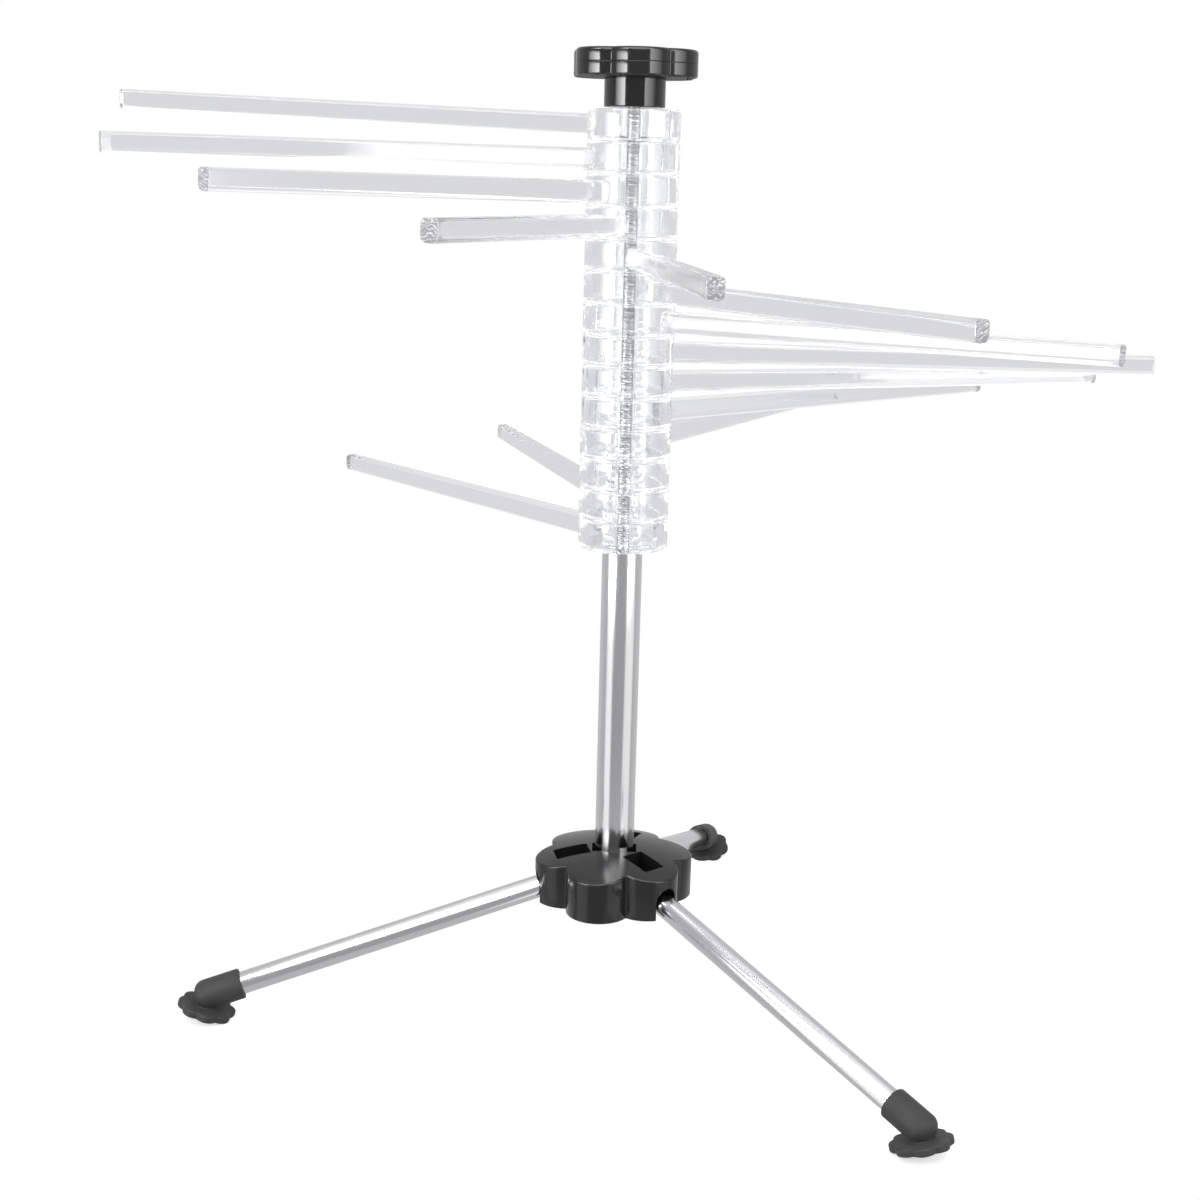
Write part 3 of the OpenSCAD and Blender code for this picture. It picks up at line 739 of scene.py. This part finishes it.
def stainless_finish():
    made, tree, shader = finish("stainless", STEEL, STEEL_ROUGH, 1.0)
    way = tree.nodes.new("ShaderNodeTexCoord")
    lines = tree.nodes.new("ShaderNodeGroup")
    lines.node_tree = polish_lines
    tree.links.new(way.outputs["UV"], lines.inputs["Vector"])
    tinted(tree, shader, lines.outputs["Lines"], STEEL, darker=0.9, lighter=1.08)
    roughened(tree, shader, lines.outputs["Lines"], STEEL_ROUGH, STEEL_ROUGH + 0.02)
    shader.inputs["Anisotropic"].default_value = 0.5
    grain = tree.nodes.new("ShaderNodeTangent")
    grain.direction_type = "UV_MAP"
    grain.uv_map = "along"
    tree.links.new(grain.outputs[0], shader.inputs["Tangent"])
    return made


stainless = stainless_finish()
post_section = tube_section(POST_D / 2, POST_WALL, POST_Z, POST_Z + POST_LEN)
piece("post", lathe(post_section, 128), stainless, "stand", "post_tube")
SLEEVE_END = LEG_REACH - DOME_TO_PAD
TUBE_START = EYE_D / 2 + EYE_NECK
for leg in LEGS:
    along = leg_place(leg) @ Matrix.Rotation(math.pi / 2, 4, "Y")
    leg_section = tube_section(LEG_D / 2, LEG_WALL, TUBE_START, SLEEVE_END)
    piece(f"{leg}_tube", lathe(leg_section, 96, along), stainless, f"{leg}_leg", f"leg_tube_{leg}")


# Feet
# Each foot is one moulding of dark grey rubber: a sleeve with a rolled mouth and a round end over the
# tube, blended into a scalloped pad that tips up outwards and is pressed flat where it stands.
SLEEVE_D = 14.7
SLEEVE_LEN = 17.3
DOME_R = 5.5
MOUTH_ROLL = 0.7
PAD_D = 27.8
PAD_T = 3.6
PAD_DROP = 7.9
PAD_TILT = math.radians(17)
PAD_SCALLOPS = 8
SCALLOP_D = 10.8
PAD_RIM = 0.55
RUBBER = (0.021, 0.021, 0.0215)
VOXEL = 0.36
SMOOTH_ROUNDS = 5


def sleeve_shape():
    mouth = SLEEVE_END - SLEEVE_LEN
    end = SLEEVE_END + DOME_R
    radius = SLEEVE_D / 2
    corners = [(0, mouth), (radius, mouth), (radius, end), (0, end)]
    section = rounded(corners, [0, MOUTH_ROLL, DOME_R, 0], 12)
    return lathe(section, 72, Matrix.Rotation(math.pi / 2, 4, "Y"))


def edge_steps(low, high, edge_low, edge_high):
    """How far a wall stands back, and at what height, up its rounded lower and upper edges."""
    steps = 6
    for i in range(steps + 1):
        a = math.pi / 2 * (1 - i / steps)
        yield edge_low * (1 - math.cos(a)), low + edge_low * (1 - math.sin(a))
    for i in range(steps + 1):
        a = math.pi / 2 * i / steps
        yield edge_high * (1 - math.cos(a)), high - edge_high * (1 - math.sin(a))


def pad_shape():
    out = (PAD_D - SCALLOP_D) / 2
    rings = []
    for back, z in edge_steps(0, PAD_T, PAD_RIM, PAD_RIM):
        rings.append([(*p, z) for p in scallops(out, SCALLOP_D / 2 - back)])
    shape = bmesh.new()
    loft(shape, rings)
    tilt = Matrix.Rotation(-LEG_SLOPE - PAD_TILT, 4, "Y")
    shape.transform(Matrix.Translation((LEG_REACH, 0, -PAD_DROP)) @ tilt)
    return shape


def scallops(out, radius):
    """Points round a pad's outline, where neighbouring scallops meet in a valley."""
    half = math.pi / PAD_SCALLOPS
    points = []
    steps = 14
    for i in range(PAD_SCALLOPS * steps):
        turn = 2 * math.pi * i / (PAD_SCALLOPS * steps)
        off = (turn + half) % (2 * half) - half
        reach = out * math.cos(off) + math.sqrt(radius ** 2 - (out * math.sin(off)) ** 2)
        points.append((reach * math.cos(turn), reach * math.sin(turn)))
    return points


def rubber_finish():
    made, tree, shader = finish("grey_rubber", RUBBER, 0.62)
    grained(tree, shader, RUBBER, (0.55, 0.72), spread=0.22, grain=1700.0, patch=130.0, bump=0.5)
    shader.inputs["Specular IOR Level"].default_value = 0.34
    shader.inputs["Sheen Weight"].default_value = 0.06
    return made


def moulded(shape):
    """Blends the overlapping parts of a moulding into one smooth skin."""
    rough = stand_in("rough", shape)
    skin = rough.modifiers.new("skin", "REMESH")
    skin.mode, skin.voxel_size = "VOXEL", VOXEL
    ease = rough.modifiers.new("ease", "SMOOTH")
    ease.factor, ease.iterations = 0.5, SMOOTH_ROUNDS
    result = bmesh.new()
    result.from_mesh(rough.evaluated_get(bpy.context.evaluated_depsgraph_get()).to_mesh())
    bpy.data.objects.remove(rough)
    return result


def foot_shape(leg):
    shape = combined(sleeve_shape(), [pad_shape()], "UNION")
    shape.transform(leg_place(leg))
    skin = moulded(shape)
    for vert in skin.verts:
        vert.co.z = max(vert.co.z, 0)
    along = leg_place(leg) @ Matrix.Rotation(math.pi / 2, 4, "Y")
    bore = rod_shape(LEG_D / 2 + FIT, SLEEVE_END - SLEEVE_LEN - 2 * PAST, SLEEVE_END + FIT, 72, along)
    return combined(skin, [bore])


rubber = rubber_finish()
for leg in LEGS:
    piece(f"{leg}_foot", foot_shape(leg), rubber, f"{leg}_leg", f"foot_{leg}", smooth=50)


# Plug, nuts and washer
# The plug in the top of the post carries the stack of rings, with a thin nut sunk in it. The nut and
# washer under the hub's floor hold the lower end of the rod. All are turned or pressed steel.
FLANGE_T = 1.3
PLUG_LEN = 16.0
PLUG_EDGE = 0.3
NUT_AF = 10.0
NUT_T = 5.0
THIN_NUT_T = 3.2
NUT_SINK = 3.6
NUT_ROOM = 0.4
NUT_FACE = 0.95
WASHER_D = 16.0
WASHER_T = 1.2
WASHER_EDGE = 0.15
post_top = POST_Z + POST_LEN
flange_top = post_top + FLANGE_T
nut_z = POST_Z - FLOOR_T - WASHER_T - NUT_T


def plug_shape():
    bore = ROD_D / 2 + FIT
    barrel = POST_D / 2 - POST_WALL - FIT
    rim = POST_D / 2
    sink = NUT_AF / 2 / math.cos(math.pi / 6) + NUT_ROOM
    low, seat = post_top - PLUG_LEN, flange_top - NUT_SINK
    corners = [(bore, low), (barrel, low), (barrel, post_top), (rim, post_top),
               (rim, flange_top), (sink, flange_top), (sink, seat), (bore, seat)]
    return lathe(rounded(corners, [0, PLUG_EDGE, 0, PLUG_EDGE, PLUG_EDGE, 0.1, 0, 0], 3), 96)


def nut_shape(low, thick):
    """A six-sided nut whose corners are turned back at thirty degrees."""
    high = low + thick
    reach = NUT_AF / 2 / math.cos(math.pi / 6)
    face = NUT_AF / 2 * NUT_FACE
    slope = (reach - face) * math.tan(math.pi / 6)
    cone = [(ROD_D / 2, low), (face, low), (reach, low + slope),
            (reach, high - slope), (face, high), (ROD_D / 2, high)]
    prism = bmesh.new()
    loft(prism, [[(x, y, z) for x, y in circle(reach, 6)] for z in (low - PAST, high + PAST)])
    return combined(lathe(cone, 72), [prism], "INTERSECT")


def washer_shape():
    low, high = nut_z + NUT_T, nut_z + NUT_T + WASHER_T
    inner, outer = ROD_D / 2 + FIT, WASHER_D / 2
    corners = [(inner, low), (outer, low), (outer, high), (inner, high)]
    return lathe(rounded(corners, [WASHER_EDGE] * 4, 2), 72)


piece("plug", plug_shape(), stainless, "stand", "post_plug")
piece("sunk_nut", nut_shape(flange_top - NUT_SINK, THIN_NUT_T), zinc, "stand", "thin_nut")
piece("lower_nut", nut_shape(nut_z, NUT_T), zinc, "stand", "tie_nut")
piece("washer", washer_shape(), zinc, "stand", "tie_washer")


# Rod
# A length of zinc plated threaded rod that runs from under the hub to the knob. The knob screws down
# on it and clamps the rings, and its thread shows through them.
THREAD_PITCH = 1.0
THREAD_ROOT = 0.42
rod_low, rod_high = (corner.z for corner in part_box("tie_rod"))


def thread_tree():
    """A round core with one ridge wound round it."""
    tree = bpy.data.node_groups.new("thread", "GeometryNodeTree")
    face = tree.interface
    face.new_socket("Geometry", in_out="OUTPUT", socket_type="NodeSocketGeometry")
    for name in ("Length", "Pitch", "Radius", "Depth"):
        face.new_socket(name, in_out="INPUT", socket_type="NodeSocketFloat")
    face.new_socket("Material", in_out="INPUT", socket_type="NodeSocketMaterial")
    way_in = tree.nodes.new("NodeGroupInput")
    way_out = tree.nodes.new("NodeGroupOutput")

    def moved_up(shape, height):
        made = tree.nodes.new("GeometryNodeTransform")
        up = tree.nodes.new("ShaderNodeCombineXYZ")
        tree.links.new(height, up.inputs["Z"])
        tree.links.new(shape, made.inputs["Geometry"])
        tree.links.new(up.outputs[0], made.inputs["Translation"])
        return made.outputs[0]

    length, pitch = way_in.outputs["Length"], way_in.outputs["Pitch"]
    radius, depth = way_in.outputs["Radius"], way_in.outputs["Depth"]
    inside = worked(tree, "SUBTRACT", length, pitch)
    middle = worked(tree, "SUBTRACT", radius, depth)
    spiral = node(tree, "GeometryNodeCurveSpiral", Resolution=20)
    tree.links.new(worked(tree, "DIVIDE", inside, pitch), spiral.inputs["Rotations"])
    tree.links.new(middle, spiral.inputs["Start Radius"])
    tree.links.new(middle, spiral.inputs["End Radius"])
    tree.links.new(inside, spiral.inputs["Height"])
    ridge = node(tree, "GeometryNodeCurvePrimitiveCircle", Resolution=6)
    tree.links.new(depth, ridge.inputs["Radius"])
    sweep = tree.nodes.new("GeometryNodeCurveToMesh")
    sweep.inputs["Fill Caps"].default_value = True
    tree.links.new(spiral.outputs["Curve"], sweep.inputs["Curve"])
    tree.links.new(ridge.outputs["Curve"], sweep.inputs["Profile Curve"])
    thread = moved_up(sweep.outputs["Mesh"], worked(tree, "MULTIPLY", pitch, 0.5))
    core = node(tree, "GeometryNodeMeshCylinder", Vertices=40)
    core_radius = worked(tree, "SUBTRACT", radius, worked(tree, "MULTIPLY", depth, 1.2))
    tree.links.new(core_radius, core.inputs["Radius"])
    tree.links.new(length, core.inputs["Depth"])
    middle_rod = moved_up(core.outputs["Mesh"], worked(tree, "MULTIPLY", length, 0.5))
    join = tree.nodes.new("GeometryNodeJoinGeometry")
    tree.links.new(middle_rod, join.inputs[0])
    tree.links.new(thread, join.inputs[0])
    real = tree.nodes.new("GeometryNodeRealizeInstances")
    dress = tree.nodes.new("GeometryNodeSetMaterial")
    tree.links.new(join.outputs[0], real.inputs[0])
    tree.links.new(real.outputs[0], dress.inputs["Geometry"])
    tree.links.new(way_in.outputs["Material"], dress.inputs["Material"])
    tree.links.new(dress.outputs[0], way_out.inputs[0])
    return tree


def grown(name, tree, values):
    """Runs a tree with its named inputs set, and gives the mesh that it makes."""
    seed = placed("seed", bpy.data.meshes.new("seed"))
    step = seed.modifiers.new("grow", "NODES")
    step.node_group = tree
    for socket in tree.interface.items_tree:
        if socket.in_out == "INPUT":
            step[socket.identifier] = values[socket.name]
    graph = bpy.context.evaluated_depsgraph_get()
    mesh = bpy.data.meshes.new_from_object(seed.evaluated_get(graph))
    bpy.data.objects.remove(seed)
    mesh.name = name
    return mesh


def rod_piece():
    mesh = grown("rod", thread_tree(), {
        "Length": rod_high - rod_low, "Pitch": THREAD_PITCH * MM, "Radius": ROD_D / 2 * MM,
        "Depth": THREAD_ROOT * MM, "Material": zinc})
    mesh.transform(Matrix.Translation((0, 0, rod_low)))
    mesh.shade_smooth()
    mesh.set_sharp_from_angle(angle=math.radians(40))
    made = placed("rod", mesh)
    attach(made, "stand")
    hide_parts("tie_rod")


rod_piece()


# Rings and arms
# Fourteen clear acrylic mouldings, each a hollow ring with a boss round the rod and one long arm that
# narrows towards its tip. Lugs and ribs inside the rings stop the fan, and the arms' ends are left dull.
ARM_COUNT = 14
RING_H = 13.96
RING_D = 42.0
RING_WALL = 3.2
RING_FLOOR = 2.2
BOSS_D = 19.0
RING_EDGE_LOW = 2.0
RING_EDGE_TOP = 1.0
RING_EDGE_IN = 0.35
BORE_D = ROD_D + 0.12
ARM_REACH = 233.9
ARM_W = 7.8
ARM_H = 10.0
ARM_DROP = 0.8
ARM_TAPER = 0.85
ARM_EDGE_TOP = 2.1
ARM_EDGE_LOW = 2.9
TIP_EDGE = 0.45
ARM_RISES = (1.85, 0.45, 0.85, 0.8, 0.3, 0.25, 0.55, 0.8, 0.95, 0.6, 0.6, 0.6, 0.1, 0.5)
FAN_STEP = 24.0
FAN_START = 180.5
FAN_OFFSETS = (-3.5, 0, 0.5, 0.75, 0.5, 1.5, 0, 2, 0.5, 0, 0, 0, -0.5, -1)
STOP_TRAVEL = 28.0
LUG_W = 10.0
LUG_H = 2.5
RIB_W = 8.0
STOP_SLACK = 0.5
# How deep the ribs and lugs are rooted in the ring
ROOT = 0.8
CLEAR = (0.955, 0.96, 0.965)
CLEAR_IOR = 1.49
DULL = (0.62, 0.62, 0.63)
DULL_DARK = (0.27, 0.27, 0.28, 1)
DULL_PALE = (0.85, 0.85, 0.86, 1)
stack_z = flange_top + GAP


def ring_shape():
    inner, outer, boss = RING_D / 2 - RING_WALL, RING_D / 2, BOSS_D / 2
    corners = [(BORE_D / 2, 0), (outer, 0), (outer, RING_H), (inner, RING_H), (inner, RING_FLOOR),
               (boss, RING_FLOOR), (boss, RING_H), (BORE_D / 2, RING_H)]
    radii = [RING_EDGE_IN, RING_EDGE_LOW, RING_EDGE_TOP, RING_EDGE_IN, RING_EDGE_IN,
             RING_EDGE_IN, RING_EDGE_IN, RING_EDGE_IN]
    return lathe(rounded(corners, radii, 5), 144)


def sector_shape(r_in, r_out, start, width, low, high):
    """A block that follows the ring, between two radii and two angles."""
    steps = 6
    turns = [math.radians(start + width * i / steps) for i in range(steps + 1)]
    outline = [(r_out * math.cos(t), r_out * math.sin(t)) for t in turns]
    outline += [(r_in * math.cos(t), r_in * math.sin(t)) for t in reversed(turns)]
    shape = bmesh.new()
    loft(shape, [[(x, y, z) for x, y in outline] for z in (low, high)])
    return shape


def arm_outline(scale, shrink=0.0):
    """The arm's rounded section, drawn in by shrink all round."""
    points = []
    for sx, sy, edge, start in ((1, 1, ARM_EDGE_TOP, 0), (-1, 1, ARM_EDGE_TOP, 90),
                                (-1, -1, ARM_EDGE_LOW, 180), (1, -1, ARM_EDGE_LOW, 270)):
        radius = edge - shrink
        for step in range(9):
            a = math.radians(start + step * 11.25)
            points.append(((sx * (ARM_W / 2 - edge) + radius * math.cos(a)) * scale,
                           (sy * (ARM_H / 2 - edge) + radius * math.sin(a)) * scale))
    return points


def arm_shape(rise):
    """The arm along X, from inside its ring's wall, with a soft edge round its tip."""
    start, end = RING_D / 2 - RING_WALL / 2, ARM_REACH / math.cos(rise)
    root = RING_D / 2
    stations = [(x, 0) for x in (start, root + 0.1, root + 0.5, root + 1.3)]
    stations += [(root + 2 + (end - TIP_EDGE - root - 2) * i / 24, 0) for i in range(25)]
    for i in range(1, 5):
        a = math.pi / 2 * i / 4
        stations.append((end - TIP_EDGE * (1 - math.sin(a)), TIP_EDGE * (1 - math.cos(a))))
    rings = []
    for x, shrink in stations:
        scale = 1 - (1 - ARM_TAPER) * (x - start) / (end - start)
        rings.append([(x, -y, z) for y, z in arm_outline(scale, shrink)])
    shape = bmesh.new()
    loft(shape, rings)
    place = Matrix.Translation((0, 0, RING_H / 2 - ARM_DROP)) @ Matrix.Rotation(-rise, 4, "Y")
    shape.transform(place)
    return shape


def arm_moulding(index):
    low = 180 - STOP_TRAVEL - LUG_W / 2 - STOP_SLACK
    high = 180 + LUG_W / 2 + STOP_SLACK
    inner, boss = RING_D / 2 - RING_WALL, BOSS_D / 2
    parts = [arm_shape(math.radians(ARM_RISES[index - 1]))]
    for start in (low - RIB_W, high):
        parts.append(sector_shape(boss - ROOT, inner + ROOT, start, RIB_W, RING_FLOOR - ROOT, RING_H - GAP))
    if index < ARM_COUNT:
        parts.append(sector_shape(boss + 2 * GAP, inner - 2 * GAP, 180 - LUG_W / 2, LUG_W, -LUG_H, ROOT))
    shape = combined(ring_shape(), parts, "UNION")
    turn = math.radians(FAN_START + FAN_STEP * (index - 1) + FAN_OFFSETS[index - 1])
    lift = stack_z + (ARM_COUNT - index) * (RING_H + GAP)
    shape.transform(Matrix.Translation((0, 0, lift)) @ Matrix.Rotation(turn, 4, "Z"))
    return shape


def acrylic_finish():
    made, tree, shader = finish("clear_acrylic", CLEAR, 0.03)
    shader.inputs["IOR"].default_value = CLEAR_IOR
    shader.inputs["Transmission Weight"].default_value = 1.0
    grains = grains_of(tree, grain=260.0, patch=40.0)
    roughened(tree, shader, grains.outputs["Broad"], 0.01, 0.07)
    embossed(tree, shader, grains.outputs["Fine"], strength=0.06, depth=0.2)
    return made


def dull_finish():
    """The sawn end of an arm: frosted, with the curved marks of the saw."""
    made, tree, shader = finish("dull_end", DULL, 0.55)
    shader.inputs["IOR"].default_value = CLEAR_IOR
    shader.inputs["Transmission Weight"].default_value = 0.35
    way = tree.nodes.new("ShaderNodeTexCoord")
    swirl = node(tree, "ShaderNodeTexWave", Scale=230.0, Distortion=14.0, Detail=3.0, Detail_Scale=1.6)
    swirl.wave_type = "RINGS"
    tree.links.new(way.outputs["Object"], swirl.inputs["Vector"])
    mark = node(tree, "ShaderNodeMapRange", From_Min=0.72, From_Max=0.98)
    tree.links.new(swirl.outputs["Fac"], mark.inputs["Value"])
    tint = mixed(tree, mark.outputs[0], DULL_DARK, DULL_PALE)
    tree.links.new(tint, shader.inputs["Base Color"])
    embossed(tree, shader, swirl.outputs["Fac"], strength=0.4, depth=0.2)
    return made


def dull_the_tip(made, material):
    """Gives the end face of an arm its own finish."""
    made.data.materials.append(material)
    for face in made.data.polygons:
        across = Vector((face.center.x, face.center.y, 0))
        at_end = across.length > (ARM_REACH - TIP_EDGE / 2) * MM
        if at_end and face.normal.dot(across.normalized()) > 0.95:
            face.material_index = 1


acrylic = acrylic_finish()
dull_end = dull_finish()
for index in range(1, ARM_COUNT + 1):
    name = f"arm_{index:02d}"
    made = piece(f"clear_{name}", arm_moulding(index), acrylic, f"{name}_body", name)
    dull_the_tip(made, dull_end)


# Knob
# A six-lobed head on a round stem, moulded in glossy black in two halves that meet at a fine seam half
# way up the head. A brass insert in the stem runs on the rod's thread.
KNOB_D = 57.8
KNOB_LOBE_D = 31.0
KNOB_H = 12.0
KNOB_EDGE_TOP = 1.6
KNOB_EDGE_LOW = 1.0
KNOB_SEAM = 0.28
KNOB_TURN = math.radians(275.5)
# The mark that the mould's gate leaves under one lobe
NIB_TURN = KNOB_TURN + math.radians(60)
NIB_IN = 3.0
NIB_D = 1.8
NIB_H = 1.1
STEM_D = 27.5
STEM_EDGE = 0.5
INSERT_D = 10.0
INSERT_LEN = 13.0
BRASS = (0.72, 0.52, 0.22)
knob_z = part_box("knob_body")[0].z / MM
head_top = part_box("knob_cap")[1].z / MM
head_z = head_top - KNOB_H
seam_z = head_z + KNOB_H / 2


def head_shape(low, high, edge_low, edge_high):
    """A slice of the knob's head with a rounded edge below and above."""
    out = (KNOB_D - KNOB_LOBE_D) / 2
    rings = []
    for back, z in edge_steps(low, high, edge_low, edge_high):
        ring = flower(out, KNOB_LOBE_D / 2 - back, KNOB_TURN, 20, VALLEY + back)
        rings.append([(p.x, p.y, z) for p in ring])
    shape = bmesh.new()
    loft(shape, rings)
    return shape


def knob_lower_shape():
    head = head_shape(head_z, seam_z, KNOB_EDGE_LOW, KNOB_SEAM)
    inner, outer, stem_top = INSERT_D / 2, STEM_D / 2, head_z + PAST
    corners = [(inner, knob_z), (outer, knob_z), (outer, stem_top), (inner, stem_top)]
    stem = lathe(rounded(corners, [0.2, STEM_EDGE, 0, 0], 4), 96)
    nib_place = Matrix.Rotation(NIB_TURN, 4, "Z") @ Matrix.Translation((KNOB_D / 2 - NIB_IN, 0, 0))
    nib = rod_shape(NIB_D / 2, head_z - NIB_H, head_z + PAST / 2, 24, nib_place)
    whole = combined(head, [stem, nib], "UNION")
    return combined(whole, [rod_shape(inner, knob_z - PAST, knob_z + INSERT_LEN, 64)])


def satin_below(made):
    """The head's underside keeps the mould's satin face."""
    made.data.materials.append(black_satin)
    for face in made.data.polygons:
        if face.normal.z < -0.9 and face.center.z > (head_z - 0.5) * MM:
            face.material_index = 1


def brass_finish():
    made, tree, shader = finish("brass", BRASS, 0.3, 1.0)
    grained(tree, shader, BRASS, (0.24, 0.38), spread=0.12, grain=900.0, patch=120.0, bump=0.15)
    return made


black_knob = black_finish("black_gloss_knob", 0.11, 0.5)
knob_lower = piece("knob_lower", knob_lower_shape(), black_knob, "knob", "knob_body")
satin_below(knob_lower)
piece("knob_upper", head_shape(seam_z, head_top, KNOB_SEAM, KNOB_EDGE_TOP), black_knob, "knob", "knob_cap")
refinish("knob_insert", brass_finish())
